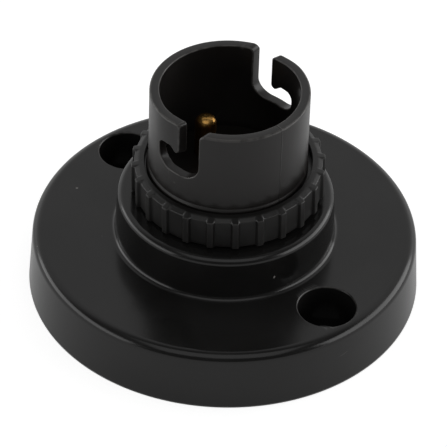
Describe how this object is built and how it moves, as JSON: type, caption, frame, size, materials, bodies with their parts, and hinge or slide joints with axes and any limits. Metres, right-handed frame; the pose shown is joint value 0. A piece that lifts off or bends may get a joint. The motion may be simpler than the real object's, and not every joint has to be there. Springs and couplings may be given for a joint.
{
  "type": "bayonet batten lamp holder",
  "caption": "Round black plastic batten lamp holder: dish base with sunk fixing holes, stepped boss, ribbed lock ring and slotted bayonet barrel with sprung brass contacts.",
  "frame": {"origin": "centre of the base's back face, which lies against the ceiling or wall", "axes": "+Z along the lamp axis, out of the socket; X along the two fixing holes and contacts"},
  "size_m": [0.065, 0.065, 0.0396],
  "materials": {
    "base_plastic": "black moulded plastic, satin, with fine dust and hair scratches",
    "barrel_plastic": "black moulded plastic, satin, with a mould parting line",
    "ring_plastic": "black moulded plastic, satin",
    "insulator_plastic": "black moulded plastic, dull",
    "plunger_brass": "turned brass, slightly dulled",
    "terminal_brass": "turned brass",
    "screw_steel": "zinc plated steel",
    "spring_steel": "drawn spring wire"
  },
  "bodies": {
    "root": {"base": "base_plastic", "barrel": "barrel_plastic", "contact_disc": "insulator_plastic", "contact_block": "insulator_plastic", "terminal_left": "terminal_brass", "plunger_spring_left": "spring_steel", "terminal_right": "terminal_brass", "plunger_spring_right": "spring_steel"},
    "lock_ring": {"lock_ring": "ring_plastic"},
    "plunger_left": {"plunger_left": "plunger_brass"},
    "terminal_screw_left": {"terminal_screw_left": "screw_steel"},
    "plunger_right": {"plunger_right": "plunger_brass"},
    "terminal_screw_right": {"terminal_screw_right": "screw_steel"}
  },
  "joints": [
    {"name": "lock_ring_turn", "type": "hinge", "parent": "root", "child": "lock_ring", "pos_m": [0, 0, 0.022], "axis": [0, 0, 1], "range_deg": [0, 630]},
    {"name": "plunger_left_press", "type": "slide", "parent": "root", "child": "plunger_left", "axis": [0, 0, 1], "range_m": [-0.006, 0], "stiffness_N_per_m": 1200, "springref_m": 0.003, "deforming": ["plunger_spring_left"]},
    {"name": "plunger_right_press", "type": "slide", "parent": "root", "child": "plunger_right", "axis": [0, 0, 1], "range_m": [-0.006, 0], "stiffness_N_per_m": 1200, "springref_m": 0.003, "deforming": ["plunger_spring_right"]},
    {"name": "terminal_screw_left_turn", "type": "hinge", "parent": "root", "child": "terminal_screw_left", "pos_m": [-0.0055, 0, 0.003], "axis": [0, 0, 1], "range_deg": [-360, 720]},
    {"name": "terminal_screw_right_turn", "type": "hinge", "parent": "root", "child": "terminal_screw_right", "pos_m": [0.0055, 0, 0.003], "axis": [0, 0, 1], "range_deg": [-360, 720]}
  ]
}
